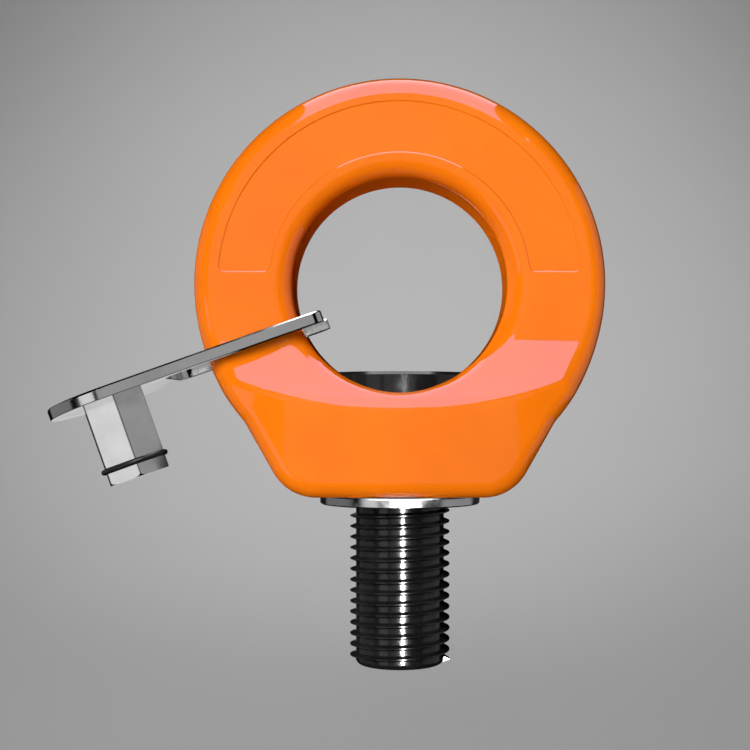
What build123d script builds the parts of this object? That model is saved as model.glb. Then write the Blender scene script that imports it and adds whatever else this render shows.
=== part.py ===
from build123d import *
import os
from math import acos, cos, radians, sin, sqrt

# Swivelling eye bolt for lifting, with its captive hand key hung on one leg of the eye.
# Millimetres. The origin is the centre of the seat, the underside of the bush flange, on the bolt's
# axis. +Z runs up the bolt to the eye, the eye lies in the XZ plane, and the key hangs on the -X leg.

# Eye
EYE_HEIGHT = 91.2          # height of the eye's centre above the seat
EYE_OUTER_R = 84.7
EYE_HOLE_R = 44.3
RING_HALF = 21.25          # half the ring's thickness
OUTER_EDGE_R = 7.5         # rounding of all the eye's outer edges
HOLE_EDGE_R = 8.0          # rounding of the eye's rim

# Foot of the eye
FOOT_BOTTOM = 4.05
FOOT_HALF = 36.0           # half the foot's thickness on the bolt's axis
FOOT_FRONT_R = 280.0       # gentle curve of the foot's front and back, seen from above
FOOT_CORNER_R = 20.0
SIDE_LEAN = 30.0           # degrees from upright
SIDE_DISTANCE = 82.85      # from the eye's centre to the straight sides
KNEE_R = 60.0              # where the ring's outside runs into the straight sides
FLARE_TOP = 75.0           # the hollow flare leaves the ring's faces here
FLARE_BOTTOM = 42.0        # and meets the foot's face here

# Shallow panel on the upper half of both faces
PANEL_INNER_R = 53.0
PANEL_OUTER_R = 74.4
PANEL_BOTTOM = 95.5
PANEL_CORNER_R = 3.0
PANEL_DEPTH = 0.5
PANEL_DRAFT = 45.0          # degrees, the slope of the panel's edges

# Bolt
THREAD_R = 21.0
THREAD_ROOT_R = 18.6
THREAD_PITCH = 4.5
THREAD_TURNS = 15
THREAD_START = -65.9       # height where the thread's ridge starts
CREST_WIDTH = 0.4
RIDGE_WIDTH = 2.4          # width of the ridge at its root
BOLT_END = -67.5
BOLT_END_ROUND = 2.4
THREAD_TOP = 0.3
SHANK_R = 21.0
HEAD_R = 30.0
HEAD_BOTTOM = 30.0
HEAD_TOP = 55.0
HEAD_CHAMFER = 1.2
SOCKET_FLATS = 25.4
SOCKET_DEPTH = 25.0

# Bush, washer, retaining ring and seals
BUSH_INNER_R = 21.05
BUSH_OUTER_R = 25.5
BUSH_TOP = 29.95
FLANGE_R = 33.65
FLANGE_TOP = 3.9
BUSH_RECESS_R = 24.2
BUSH_RECESS_TOP = 3.2
RUNNING_GAP = 0.06         # radial clearance of the eye on the bush
POCKET_R = 30.6            # the pocket that takes the bolt's head
POCKET_FLOOR = 27.3
WASHER_INNER_R = 25.8
WASHER_OUTER_R = 29.6
WASHER_TOP = 29.9
SNAP_GROOVE_R = 19.6
SNAP_GROOVE_BOTTOM = 1.2
SNAP_GROOVE_TOP = 2.9
SNAP_OUTER_R = 23.2
SNAP_GAP = 7.0
LOWER_SEAL_R = 27.6
LOWER_SEAL_WIRE_R = 0.8
LOWER_SEAL_HEIGHT = 4.85
HEAD_SEAL_R = 29.3
HEAD_SEAL_WIRE_R = 1.15
HEAD_SEAL_HEIGHT = 41.0
SEAL_GROOVE_GAP = 0.05

# Key: its own frame has its origin where the pin's axis leaves the plate's underside
KEY_X = -121.2
KEY_Z = 43.2
KEY_TILT = 19.5            # degrees, rising towards the eye
KEY_HALF_WIDTH = 30.3
KEY_END_CENTRE = 3.5       # the round end's centre, from the pin's axis towards the eye
KEY_THICKNESS = 4.8
KEY_REACH = 96.2           # from the pin's axis to the ends of the arms
SLOT_START = 27.0
SLOT_HALF = 24.3
SLOT_CORNER_R = 8.0
ARM_TIP_R = 4.8
ARM_INNER_TIP_R = 0.8
PLATE_TOP_ROUND = 0.9
PLATE_BOTTOM_ROUND = 0.3
PIN_FLATS = 25.0
PIN_TURN = -16.0           # degrees the hexagon is turned in the plate
PIN_LENGTH = 34.0
PIN_EDGE_R = 0.7
PIN_TIP_ROUND = 1.6
TENON_R = 8.0
TENON_GAP = 0.02
KEY_SEAL_DEPTH = 27.6      # from the plate's underside to the middle of the O-ring
KEY_SEAL_R = 13.3
KEY_SEAL_WIRE_R = 1.2

FACE_PLANE = Plane.XZ      # sketch x is +X and sketch y is +Z
SIDE_PLANE = Plane.YZ      # sketch x is +Y and sketch y is +Z
KEY_PLANE = Plane(
    origin=(KEY_X, 0, KEY_Z),
    x_dir=(cos(radians(KEY_TILT)), 0, sin(radians(KEY_TILT))),
    z_dir=(-sin(radians(KEY_TILT)), 0, cos(radians(KEY_TILT))),
)


def sleeve(inner_r, outer_r, bottom, top):
    """A plain ring on the bolt's axis."""
    height = top - bottom
    tube = Cylinder(outer_r, height) - Cylinder(inner_r, 2 * height)
    return Pos(0, 0, (bottom + top) / 2) * tube


def disc(radius, bottom, top):
    """A solid cylinder on the bolt's axis."""
    return Pos(0, 0, (bottom + top) / 2) * Cylinder(radius, top - bottom)


def circle_edges(solid, radius, height):
    """The full circles of one radius at one height."""
    return [
        edge
        for edge in solid.edges().filter_by(GeomType.CIRCLE)
        if abs(edge.radius - radius) < 0.01 and abs(edge.center().Z - height) < 0.01
    ]


def front_outline():
    """The eye seen from the front: a disc running into a tapered foot, with the hole left out."""
    lean = radians(SIDE_LEAN)
    knee_angle = lean - acos(SIDE_DISTANCE / EYE_OUTER_R)
    knee_x = EYE_OUTER_R * cos(knee_angle)
    knee_z = EYE_HEIGHT - EYE_OUTER_R * sin(knee_angle)
    foot_x = (SIDE_DISTANCE - sin(lean) * (EYE_HEIGHT - FOOT_BOTTOM)) / cos(lean)
    with BuildSketch() as sketch:
        with Locations((0, EYE_HEIGHT)):
            Circle(EYE_OUTER_R)
        with BuildLine():
            Polyline(
                (-foot_x, FOOT_BOTTOM), (foot_x, FOOT_BOTTOM), (knee_x, knee_z), (-knee_x, knee_z), close=True
            )
        make_face()
        fillet([v for v in sketch.vertices() if v.Y < FOOT_BOTTOM + 1], FOOT_CORNER_R)
        fillet([v for v in sketch.vertices() if abs(v.Y - knee_z) < 1], KNEE_R)
    return FACE_PLANE * sketch.sketch


def side_outline():
    """The eye seen from the side: upright ring, hollow flare, upright foot."""
    top = EYE_HEIGHT + EYE_OUTER_R + 1
    with BuildSketch() as sketch:
        with BuildLine():
            Polyline((0, top), (RING_HALF, top), (RING_HALF, FLARE_TOP))
            TangentArc((RING_HALF, FLARE_TOP), (FOOT_HALF, FLARE_BOTTOM), tangent=(0, -1))
            Polyline((FOOT_HALF, FLARE_BOTTOM), (FOOT_HALF, FOOT_BOTTOM - 1), (0, FOOT_BOTTOM - 1), (0, top))
        make_face()
        mirror(about=Plane.YZ)
    return SIDE_PLANE * sketch.sketch


def plan_outline():
    """The lens that bows the foot's front and back, seen from above."""
    bow_centre = FOOT_FRONT_R - FOOT_HALF
    return (Pos(0, bow_centre) * Circle(FOOT_FRONT_R)) & (Pos(0, -bow_centre) * Circle(FOOT_FRONT_R))


def forging_blank():
    """The eye's outside: front, side and plan outlines run through each other, with every edge rounded."""
    blank = extrude(front_outline(), amount=2 * FOOT_HALF, both=True)
    blank &= extrude(side_outline(), amount=2 * EYE_OUTER_R, both=True)
    blank &= extrude(plan_outline(), amount=3 * EYE_OUTER_R)
    curved = [edge for edge in blank.edges() if edge.geom_type != GeomType.LINE]
    return fillet(curved, OUTER_EDGE_R)


def face_panel(inward):
    """One shallow half-ring pocket with sloping edges, as the solid to cut from the face at Y = 0."""
    with BuildSketch() as sketch:
        with Locations((0, EYE_HEIGHT)):
            Circle(PANEL_OUTER_R)
            Circle(PANEL_INNER_R, mode=Mode.SUBTRACT)
        with Locations((0, PANEL_BOTTOM - EYE_OUTER_R)):
            Rectangle(2 * EYE_OUTER_R, 2 * EYE_OUTER_R, mode=Mode.SUBTRACT)
        fillet(sketch.vertices(), PANEL_CORNER_R)
    return extrude(FACE_PLANE * sketch.sketch, amount=PANEL_DEPTH, dir=(0, inward, 0), taper=PANEL_DRAFT)


def eye_body():
    """The forged eye: ring, flared foot, bore for the bush and pocket for the bolt's head."""
    body = forging_blank()
    body -= Pos(0, 0, EYE_HEIGHT) * Rot(90, 0, 0) * Cylinder(EYE_HOLE_R, 4 * FOOT_HALF)
    rim = []
    for edge in body.edges():
        points = [edge.position_at(t) for t in (0.1, 0.5, 0.9)]
        if all(abs(sqrt(p.X**2 + (p.Z - EYE_HEIGHT) ** 2) - EYE_HOLE_R) < 0.05 for p in points):
            rim.append(edge)
    body = fillet(rim, HOLE_EDGE_R)
    for inward in (-1, 1):
        body -= Pos(0, -inward * RING_HALF, 0) * face_panel(inward)
    body -= disc(BUSH_OUTER_R + RUNNING_GAP, 0, POCKET_FLOOR + 1)
    body -= disc(POCKET_R, POCKET_FLOOR, EYE_HEIGHT)
    groove_half = LOWER_SEAL_WIRE_R + SEAL_GROOVE_GAP
    return body - sleeve(
        LOWER_SEAL_R - groove_half, LOWER_SEAL_R + groove_half, 0, LOWER_SEAL_HEIGHT + groove_half
    )


def thread_ridge():
    """The right-hand thread's ridge, a trapezium swept up a helix."""
    inner_r = THREAD_ROOT_R - 0.3
    outer_r = THREAD_R + 0.2
    slope = (RIDGE_WIDTH - CREST_WIDTH) / 2 / (THREAD_R - THREAD_ROOT_R)
    inner_half = CREST_WIDTH / 2 + slope * (THREAD_R - inner_r)
    outer_half = CREST_WIDTH / 2 + slope * (THREAD_R - outer_r)
    path = Helix(pitch=THREAD_PITCH, height=THREAD_PITCH * THREAD_TURNS, radius=inner_r)
    with BuildSketch(Plane(origin=path @ 0, x_dir=(1, 0, 0), z_dir=(0, -1, 0))) as section:
        with BuildLine():
            Polyline(
                (0, -inner_half), (outer_r - inner_r, -outer_half), (outer_r - inner_r, outer_half),
                (0, inner_half), close=True,
            )
        make_face()
    return Pos(0, 0, THREAD_START) * sweep(section.sketch, path=path, is_frenet=True)


def threaded_end():
    """The bolt below the seat: a core with the thread's ridge fused to it."""
    core = disc(THREAD_ROOT_R, BOLT_END, THREAD_TOP + 3)
    core = fillet(circle_edges(core, THREAD_ROOT_R, BOLT_END), BOLT_END_ROUND)
    return (core + thread_ridge()) & disc(THREAD_R, BOLT_END - 1, THREAD_TOP)


def load_bolt():
    """Head with a hexagon socket, plain shank and threaded end, turned from one piece."""
    head = disc(HEAD_R, HEAD_BOTTOM, HEAD_TOP)
    head = chamfer(circle_edges(head, HEAD_R, HEAD_TOP), HEAD_CHAMFER)
    head = chamfer(circle_edges(head, HEAD_R, HEAD_BOTTOM), HEAD_CHAMFER / 2)
    socket = extrude(
        Pos(0, 0, HEAD_TOP - SOCKET_DEPTH) * RegularPolygon(SOCKET_FLATS / 2, 6, major_radius=False),
        amount=SOCKET_DEPTH + 1,
    )
    lead_in = Pos(0, 0, HEAD_TOP) * Cone(SOCKET_FLATS / 2 - 0.5, SOCKET_FLATS / 2 + 3.5, 4)
    bolt = head + disc(SHANK_R, THREAD_TOP, HEAD_BOTTOM) + threaded_end()
    bolt -= socket
    bolt -= lead_in
    bolt -= sleeve(SNAP_GROOVE_R, SHANK_R + 1, SNAP_GROOVE_BOTTOM, SNAP_GROOVE_TOP)
    groove_half = HEAD_SEAL_WIRE_R + SEAL_GROOVE_GAP
    return bolt - sleeve(
        HEAD_SEAL_R - groove_half, HEAD_R + 1, HEAD_SEAL_HEIGHT - groove_half, HEAD_SEAL_HEIGHT + groove_half
    )


def flanged_bush():
    """The sleeve that the eye turns on, with the flange that sits on the load."""
    bush = sleeve(BUSH_INNER_R, BUSH_OUTER_R, 0, BUSH_TOP) + sleeve(BUSH_INNER_R, FLANGE_R, 0, FLANGE_TOP)
    for height in (0, FLANGE_TOP):
        bush = chamfer(circle_edges(bush, FLANGE_R, height), 0.5)
    return bush - disc(BUSH_RECESS_R, -1, BUSH_RECESS_TOP)


def thrust_washer():
    """The bearing washer between the bolt's head and the floor of the eye's pocket."""
    return sleeve(WASHER_INNER_R, WASHER_OUTER_R, POCKET_FLOOR + 0.1, WASHER_TOP)


def bush_snap_ring():
    """The open ring on the shank that keeps the bush on the bolt."""
    ring = sleeve(SNAP_GROOVE_R + 0.1, SNAP_OUTER_R, SNAP_GROOVE_BOTTOM + 0.1, SNAP_GROOVE_TOP - 0.1)
    return ring - Pos(0, SNAP_OUTER_R, SNAP_GROOVE_TOP) * Box(SNAP_GAP, SNAP_OUTER_R, 4 * SNAP_GROOVE_TOP)


def lower_dust_seal():
    """The rubber ring in the foot's underside, above the flange."""
    return Pos(0, 0, LOWER_SEAL_HEIGHT) * Torus(LOWER_SEAL_R, LOWER_SEAL_WIRE_R)


def head_dust_seal():
    """The rubber ring round the bolt's head, inside the pocket."""
    return Pos(0, 0, HEAD_SEAL_HEIGHT) * Torus(HEAD_SEAL_R, HEAD_SEAL_WIRE_R)


def key_plate():
    """The forked plate, with a hole for the pin's tenon."""
    with BuildSketch() as sketch:
        with Locations((KEY_END_CENTRE, 0)):
            Circle(KEY_HALF_WIDTH)
        with Locations(((KEY_END_CENTRE + KEY_REACH) / 2, 0)):
            Rectangle(KEY_REACH - KEY_END_CENTRE, 2 * KEY_HALF_WIDTH)
        with Locations(((SLOT_START + KEY_REACH) / 2, 0)):
            Rectangle(KEY_REACH - SLOT_START, 2 * SLOT_HALF, mode=Mode.SUBTRACT)
        Circle(TENON_R, mode=Mode.SUBTRACT)
        corners = sketch.vertices()
        fillet([v for v in corners if abs(v.X - SLOT_START) < 1], SLOT_CORNER_R)
        tips = [v for v in sketch.vertices() if abs(v.X - KEY_REACH) < 1]
        fillet([v for v in tips if abs(v.Y) > SLOT_HALF + 1], ARM_TIP_R)
        tips = [v for v in sketch.vertices() if abs(v.X - KEY_REACH) < 1 and abs(abs(v.Y) - SLOT_HALF) < 0.1]
        fillet(tips, ARM_INNER_TIP_R)
    plate = extrude(sketch.sketch, amount=KEY_THICKNESS)
    outer = [e for e in plate.edges() if abs(e.center().Z - KEY_THICKNESS) < 0.01 and not is_tenon_edge(e)]
    plate = fillet(outer, PLATE_TOP_ROUND)
    outer = [e for e in plate.edges() if abs(e.center().Z) < 0.01 and not is_tenon_edge(e)]
    return KEY_PLANE * fillet(outer, PLATE_BOTTOM_ROUND)


def is_tenon_edge(edge):
    """True for the circles of the plate's pin hole."""
    return edge.geom_type == GeomType.CIRCLE and abs(edge.radius - TENON_R) < 0.01


def key_pin():
    """The hexagon pin: a groove for its O-ring, a turned tip, and a tenon through the plate."""
    hexagon = RegularPolygon(PIN_FLATS / 2, 6, major_radius=False, rotation=PIN_TURN)
    hexagon = fillet(hexagon.vertices(), PIN_EDGE_R)
    pin = extrude(hexagon, amount=-PIN_LENGTH)
    corner_r = PIN_FLATS / sqrt(3)
    turned = Pos(0, 0, -PIN_LENGTH / 2) * Cylinder(corner_r, PIN_LENGTH)
    turned = fillet(circle_edges(turned, corner_r, -PIN_LENGTH), PIN_TIP_ROUND)
    groove_half = KEY_SEAL_WIRE_R + SEAL_GROOVE_GAP
    groove = sleeve(
        KEY_SEAL_R - groove_half, corner_r + 1, -KEY_SEAL_DEPTH - groove_half, -KEY_SEAL_DEPTH + groove_half
    )
    tenon = disc(TENON_R - TENON_GAP, -1, KEY_THICKNESS)
    return KEY_PLANE * ((pin & turned) - groove + tenon)


def key_o_ring():
    """The rubber ring that grips in the bolt's socket."""
    return KEY_PLANE * Pos(0, 0, -KEY_SEAL_DEPTH) * Torus(KEY_SEAL_R, KEY_SEAL_WIRE_R)


SUB_PARTS = (
    eye_body, load_bolt, flanged_bush, thrust_washer, bush_snap_ring, lower_dust_seal, head_dust_seal,
    key_plate, key_pin, key_o_ring,
)

os.makedirs("parts", exist_ok=True)
for make_part in SUB_PARTS:
    export_step(make_part(), f"parts/{make_part.__name__}.step")
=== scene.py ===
import bpy
import math
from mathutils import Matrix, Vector

# The looks of a swivelling eye bolt with its hand key. Metres, in the part's own frame:
# the seat's centre is the origin, +Z runs up to the eye, and the front faces -Y.

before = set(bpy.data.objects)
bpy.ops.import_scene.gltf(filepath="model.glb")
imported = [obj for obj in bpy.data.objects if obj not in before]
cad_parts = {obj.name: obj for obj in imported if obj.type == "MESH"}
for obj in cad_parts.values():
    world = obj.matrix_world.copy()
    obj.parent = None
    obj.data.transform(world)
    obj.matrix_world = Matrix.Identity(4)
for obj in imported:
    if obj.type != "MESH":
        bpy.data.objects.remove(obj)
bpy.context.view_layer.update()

# Camera: level, square on to the eye
CAMERA_DISTANCE = 0.571
CAMERA_HEIGHT = 0.041
LENS_MM = 64.85
SENSOR_MM = 36.0
SHIFT_RIGHT = -0.0330
SHIFT_UP = 0.0413

# Studio
FLOOR_HEIGHT = -0.35
FLOOR_FRONT = -3.0
SWEEP_START = 0.8
SWEEP_RADIUS = 1.3
SWEEP_TOP = 3.2
SWEEP_STEPS = 24
STAGE_HALF_WIDTH = 3.5
STAGE_GREY = (0.50, 0.495, 0.495)
STAGE_GREY_DEEP = (0.49, 0.4851, 0.4851)
WORLD_GREY = (0.30, 0.30, 0.30)

# Where the lights point and where the backdrop's spots hang
EYE_AIM = (0.0, 0.0, 0.08)
THREAD_AIM = (0.0, 0.0, -0.055)
SPOT_PLACE = (0.0, -0.10, 1.20)
SPOT_RADIUS = 0.1

# Finishes, as linear colours
ORANGE = (0.90, 0.190, 0.0040)
ORANGE_DEEP = (0.84, 0.170, 0.0035)
BLACK_OXIDE = (0.010, 0.010, 0.0105)
BLACK_OXIDE_WORN = (0.020, 0.0195, 0.0195)
ZINC = (0.66, 0.66, 0.67)
ZINC_DULL = (0.52, 0.52, 0.53)
POLISHED = (0.80, 0.79, 0.79)
POLISHED_DULL = (0.66, 0.66, 0.66)
BRONZE = (0.55, 0.36, 0.16)
BRONZE_DARK = (0.38, 0.22, 0.09)
SPRING_STEEL = (0.20, 0.20, 0.21)
SPRING_STEEL_BLUE = (0.13, 0.13, 0.16)
RUBBER = (0.011, 0.011, 0.012)
RUBBER_BLOOM = (0.022, 0.022, 0.022)


class NodeMaterial:
    """A Principled material with small helpers for noise, colour and bump, all in the part's own space."""

    def __init__(self, name):
        self.material = bpy.data.materials.new(name)
        self.material.use_nodes = True
        self.tree = self.material.node_tree
        self.shader = self.tree.nodes["Principled BSDF"]
        self.place = self.tree.nodes.new("ShaderNodeTexCoord").outputs["Object"]

    def set(self, **values):
        """Sets constants on the shader's own sockets; underscores stand for spaces."""
        for name, value in values.items():
            self.shader.inputs[name.replace("_", " ")].default_value = value

    def stretch(self, x, y, z):
        """The part's coordinates, scaled along each axis."""
        node = self.tree.nodes.new("ShaderNodeMapping")
        node.inputs["Scale"].default_value = (x, y, z)
        self.tree.links.new(self.place, node.inputs["Vector"])
        return node.outputs["Vector"]

    def noise(self, scale, detail=3.0, place=None):
        node = self.tree.nodes.new("ShaderNodeTexNoise")
        node.inputs["Scale"].default_value = scale
        node.inputs["Detail"].default_value = detail
        self.tree.links.new(place or self.place, node.inputs["Vector"])
        return node.outputs["Fac"]

    def turning_marks(self, kind, scale, distortion=0.0):
        """RINGS about the bolt's axis, or BANDS stacked up it."""
        node = self.tree.nodes.new("ShaderNodeTexWave")
        node.wave_type = kind
        node.rings_direction = "Z"
        node.bands_direction = "Z"
        node.inputs["Scale"].default_value = scale
        node.inputs["Distortion"].default_value = distortion
        self.tree.links.new(self.place, node.inputs["Vector"])
        return node.outputs["Fac"]

    def remap(self, value, low, high, new_low, new_high):
        """Stretches a value from one range to another, and clamps it."""
        node = self.tree.nodes.new("ShaderNodeMapRange")
        node.inputs["From Min"].default_value = low
        node.inputs["From Max"].default_value = high
        node.inputs["To Min"].default_value = new_low
        node.inputs["To Max"].default_value = new_high
        self.tree.links.new(value, node.inputs["Value"])
        return node.outputs["Result"]

    def colour(self, value, low, high, first, second):
        """Blends two colours as a value runs from low to high."""
        node = self.tree.nodes.new("ShaderNodeMix")
        node.data_type = "RGBA"
        node.inputs["A"].default_value = (*first, 1.0)
        node.inputs["B"].default_value = (*second, 1.0)
        self.tree.links.new(self.remap(value, low, high, 0.0, 1.0), node.inputs["Factor"])
        self.tree.links.new(node.outputs["Result"], self.shader.inputs["Base Color"])

    def roughness(self, value, low, high, smooth, rough):
        self.tree.links.new(self.remap(value, low, high, smooth, rough), self.shader.inputs["Roughness"])

    def bump(self, layers):
        """Chains bump layers: (value, height in metres, strength) each."""
        normal = None
        for value, height, strength in layers:
            node = self.tree.nodes.new("ShaderNodeBump")
            node.inputs["Strength"].default_value = strength
            node.inputs["Distance"].default_value = height
            self.tree.links.new(value, node.inputs["Height"])
            if normal is not None:
                self.tree.links.new(normal, node.inputs["Normal"])
            normal = node.outputs["Normal"]
        self.tree.links.new(normal, self.shader.inputs["Normal"])


def paint():
    """Thick gloss orange paint: a smooth clear top over a slightly uneven coat on a forging."""
    m = NodeMaterial("gloss_orange_paint")
    m.set(Metallic=0.0, Specular_IOR_Level=0.55, Specular_Tint=(0.62, 0.42, 1.0, 1.0))
    m.colour(m.noise(28.0, 4.0), 0.35, 0.65, ORANGE, ORANGE_DEEP)
    m.roughness(m.noise(160.0), 0.3, 0.7, 0.035, 0.055)
    m.bump([(m.noise(24.0, 2.0), 0.0012, 0.10), (m.noise(650.0, 2.0), 0.00006, 0.12)])
    return m.material


def black_oxide():
    """Phosphated and oiled steel, with faint turning marks."""
    m = NodeMaterial("black_oxide_steel")
    m.set(Metallic=0.0, Specular_IOR_Level=0.4)
    m.colour(m.noise(90.0, 5.0), 0.45, 0.75, BLACK_OXIDE, BLACK_OXIDE_WORN)
    m.roughness(m.noise(220.0, 4.0), 0.3, 0.7, 0.10, 0.18)
    m.bump([(m.turning_marks("BANDS", 900.0, 0.4), 0.00002, 0.25), (m.noise(1400.0), 0.00003, 0.2)])
    return m.material


def turned_zinc():
    """Turned steel under bright zinc."""
    m = NodeMaterial("bright_zinc_steel")
    m.set(Metallic=1.0)
    m.colour(m.noise(60.0, 5.0), 0.35, 0.75, ZINC, ZINC_DULL)
    m.roughness(m.noise(300.0, 4.0), 0.3, 0.7, 0.16, 0.28)
    m.bump([(m.turning_marks("RINGS", 700.0, 0.3), 0.00002, 0.3)])
    return m.material


def polished_plate():
    """Polished, plated sheet steel with a faint grain along the plate."""
    m = NodeMaterial("polished_key_plate")
    m.set(Metallic=1.0)
    m.colour(m.noise(45.0, 4.0), 0.35, 0.75, POLISHED, POLISHED_DULL)
    m.roughness(m.noise(90.0, 4.0), 0.3, 0.7, 0.08, 0.16)
    grain = m.noise(60.0, 3.0, m.stretch(1.0, 30.0, 3.0))
    m.bump([(grain, 0.00004, 0.12), (m.noise(40.0, 1.0), 0.0003, 0.06)])
    return m.material


def polished_pin():
    """Bright drawn hexagon bar."""
    m = NodeMaterial("polished_key_pin")
    m.set(Metallic=1.0)
    m.colour(m.noise(70.0, 4.0), 0.35, 0.75, POLISHED, POLISHED_DULL)
    m.roughness(m.noise(120.0, 4.0), 0.3, 0.7, 0.07, 0.15)
    grain = m.noise(50.0, 3.0, m.stretch(12.0, 12.0, 1.0))
    m.bump([(grain, 0.00004, 0.12)])
    return m.material


def bearing_bronze():
    """Turned bronze with a darker film of grease."""
    m = NodeMaterial("bearing_bronze")
    m.set(Metallic=1.0, Coat_Weight=0.3, Coat_Roughness=0.2)
    m.colour(m.noise(80.0, 4.0), 0.35, 0.7, BRONZE, BRONZE_DARK)
    m.roughness(m.noise(200.0), 0.3, 0.7, 0.25, 0.4)
    m.bump([(m.turning_marks("RINGS", 600.0), 0.00002, 0.3)])
    return m.material


def spring_steel():
    """Oiled, blued spring steel."""
    m = NodeMaterial("blued_spring_steel")
    m.set(Metallic=1.0)
    m.colour(m.noise(100.0, 4.0), 0.35, 0.7, SPRING_STEEL, SPRING_STEEL_BLUE)
    m.roughness(m.noise(240.0), 0.3, 0.7, 0.25, 0.4)
    m.bump([(m.noise(900.0), 0.00002, 0.3)])
    return m.material


def nitrile():
    """Smooth black rubber with a faint bloom."""
    m = NodeMaterial("black_nitrile")
    m.set(Metallic=0.0, Specular_IOR_Level=0.6)
    m.colour(m.noise(180.0, 4.0), 0.5, 0.8, RUBBER, RUBBER_BLOOM)
    m.roughness(m.noise(400.0), 0.3, 0.7, 0.28, 0.42)
    m.bump([(m.noise(1500.0), 0.00003, 0.3)])
    return m.material


def stage_grey():
    """Pale matt paper."""
    m = NodeMaterial("stage_paper")
    m.set(Roughness=0.9, Specular_IOR_Level=0.2)
    m.colour(m.noise(3.0, 2.0), 0.3, 0.7, STAGE_GREY, STAGE_GREY_DEEP)
    return m.material


def dress(finishes):
    """Gives each CAD node its finish."""
    for node, material in finishes.items():
        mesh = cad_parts[node].data
        mesh.materials.clear()
        mesh.materials.append(material)


def sweep_profile():
    """The floor and backdrop seen from the side, as (y, z) points."""
    points = [(FLOOR_FRONT, FLOOR_HEIGHT), (SWEEP_START, FLOOR_HEIGHT)]
    for step in range(1, SWEEP_STEPS + 1):
        angle = math.radians(90.0 * step / SWEEP_STEPS)
        points.append((
            SWEEP_START + SWEEP_RADIUS * math.sin(angle),
            FLOOR_HEIGHT + SWEEP_RADIUS * (1.0 - math.cos(angle)),
        ))
    points.append((SWEEP_START + SWEEP_RADIUS, SWEEP_TOP))
    return points


def build_stage():
    """One seamless sheet, kept out of the gloss: a pale floor that curves up to the backdrop."""
    profile = sweep_profile()
    corners = [(side * STAGE_HALF_WIDTH, y, z) for y, z in profile for side in (-1, 1)]
    faces = [(2 * i, 2 * i + 1, 2 * i + 3, 2 * i + 2) for i in range(len(profile) - 1)]
    mesh = bpy.data.meshes.new("studio_sweep")
    mesh.from_pydata(corners, [], faces)
    mesh.materials.append(stage_grey())
    for polygon in mesh.polygons:
        polygon.use_smooth = True
    sheet = bpy.data.objects.new("studio_sweep", mesh)
    bpy.context.scene.collection.objects.link(sheet)
    sheet.visible_glossy = False
    return sheet


def aim(thing, place, target):
    """Puts a light or camera somewhere, looking at a point."""
    thing.location = place
    thing.rotation_euler = (Vector(target) - Vector(place)).to_track_quat("-Z", "Y").to_euler()


def softbox(name, place, target, size, watts):
    """A rectangular area light that the camera itself doesn't see."""
    data = bpy.data.lights.new(name, "AREA")
    data.shape = "RECTANGLE"
    data.size, data.size_y = size
    data.energy = watts
    light = bpy.data.objects.new(name, data)
    bpy.context.scene.collection.objects.link(light)
    aim(light, place, target)
    light.visible_camera = False
    return light


def card(name, place, target, size, watts):
    """A softbox that shows only in reflections."""
    light = softbox(name, place, target, size, watts)
    light.visible_diffuse = False
    return light


def light_only(light, things):
    """Limits a light to a few objects."""
    group = bpy.data.collections.new(light.name + "_receivers")
    for thing in things:
        group.objects.link(thing)
    light.light_linking.receiver_collection = group


def backdrop_spot(name, target, cone, watts):
    """A soft round pool of light on the backdrop, from high above the eye."""
    data = bpy.data.lights.new(name, "SPOT")
    data.energy = watts
    data.spot_size = math.radians(cone)
    data.spot_blend = 1.0
    data.shadow_soft_size = SPOT_RADIUS
    light = bpy.data.objects.new(name, data)
    bpy.context.scene.collection.objects.link(light)
    aim(light, SPOT_PLACE, target)


def build_fills(sheet):
    """Soft light on the part's front and back, and on the floor. The part's two don't show in its gloss."""
    front = softbox("front_fill", (-0.35, -1.50, 0.62), EYE_AIM, size=(0.9, 0.9), watts=31.0)
    front.visible_glossy = False
    rear = softbox("rear_fill", (-0.80, 0.95, 0.35), EYE_AIM, size=(0.8, 0.8), watts=29.0)
    rear.visible_glossy = False
    light_only(rear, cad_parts.values())
    below = (0.0, -1.5, FLOOR_HEIGHT)
    floor = softbox("floor_fill", (0.0, -1.5, 2.2), below, size=(2.5, 2.0), watts=42.0)
    light_only(floor, (sheet,))


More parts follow.
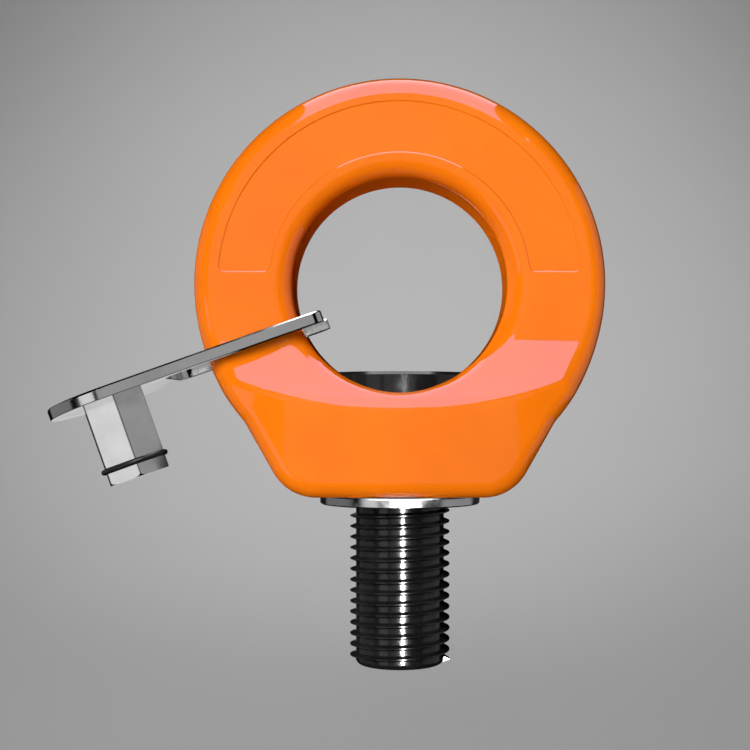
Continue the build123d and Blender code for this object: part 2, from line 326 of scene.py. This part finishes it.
def build_cards():
    """What the gloss mirrors: overhead, both sides, behind the camera, low at the left and low behind."""
    card("canopy", (0.0, -0.90, 0.95), (0.0, -0.90, 0.0), size=(0.84, 2.60), watts=32.0)
    strip = card("bolt_strip", (0.068, -0.50, -0.105), THREAD_AIM, size=(0.05, 0.20), watts=10.0)
    light_only(strip, (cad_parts["load_bolt"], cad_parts["flanged_bush"]))
    card("left_card", (-1.60, 0.30, 0.0), EYE_AIM, size=(1.8, 1.6), watts=1.8)
    card("right_card", (1.60, 0.10, 0.20), EYE_AIM, size=(2.0, 1.8), watts=4.0)
    card("left_front_card", (-1.60, -1.75, -0.40), EYE_AIM, size=(1.0, 1.2), watts=3.2)
    card("lens_card", (0.0, -2.60, 0.10), EYE_AIM, size=(2.4, 2.4), watts=6.5)
    straight_ahead = (-0.33, 0.0, -0.225)
    card("low_back_card", (-0.33, 1.45, -0.225), straight_ahead, size=(0.34, 0.25), watts=0.17)


def build_backdrop_light():
    """Two pools of light on the backdrop's curve, one above the other."""
    backdrop_spot("wall_spot", (0.0, 2.1, 0.20), cone=56.0, watts=62.0)
    backdrop_spot("floor_spot", (0.0, 1.6, -0.20), cone=88.0, watts=37.0)


def build_world():
    """An even grey surround that only the camera sees."""
    world = bpy.data.worlds.new("studio_surround")
    world.use_nodes = True
    background = world.node_tree.nodes["Background"]
    background.inputs["Color"].default_value = (*WORLD_GREY, 1.0)
    background.inputs["Strength"].default_value = 1.0
    bpy.context.scene.world = world
    world.cycles_visibility.diffuse = False
    world.cycles_visibility.glossy = False


def build_camera():
    """A level camera, square on to the front of the eye."""
    data = bpy.data.cameras.new("front_camera")
    data.lens = LENS_MM
    data.sensor_width = SENSOR_MM
    data.shift_x = SHIFT_RIGHT
    data.shift_y = SHIFT_UP
    data.clip_start = 0.01
    camera = bpy.data.objects.new("front_camera", data)
    bpy.context.scene.collection.objects.link(camera)
    camera.location = (0.0, -CAMERA_DISTANCE, CAMERA_HEIGHT)
    camera.rotation_euler = (math.radians(90.0), 0.0, 0.0)
    bpy.context.scene.camera = camera


rubber = nitrile()
dress({
    "eye_body": paint(),
    "load_bolt": black_oxide(),
    "flanged_bush": turned_zinc(),
    "thrust_washer": bearing_bronze(),
    "bush_snap_ring": spring_steel(),
    "lower_dust_seal": rubber,
    "head_dust_seal": rubber,
    "key_plate": polished_plate(),
    "key_pin": polished_pin(),
    "key_o_ring": rubber,
})
# The paint doesn't mirror the eye itself, so the hole's wall stays plain
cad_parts["eye_body"].visible_glossy = False
build_camera()
build_fills(build_stage())
build_cards()
build_backdrop_light()
build_world()
bpy.context.scene.view_settings.view_transform = "Standard"
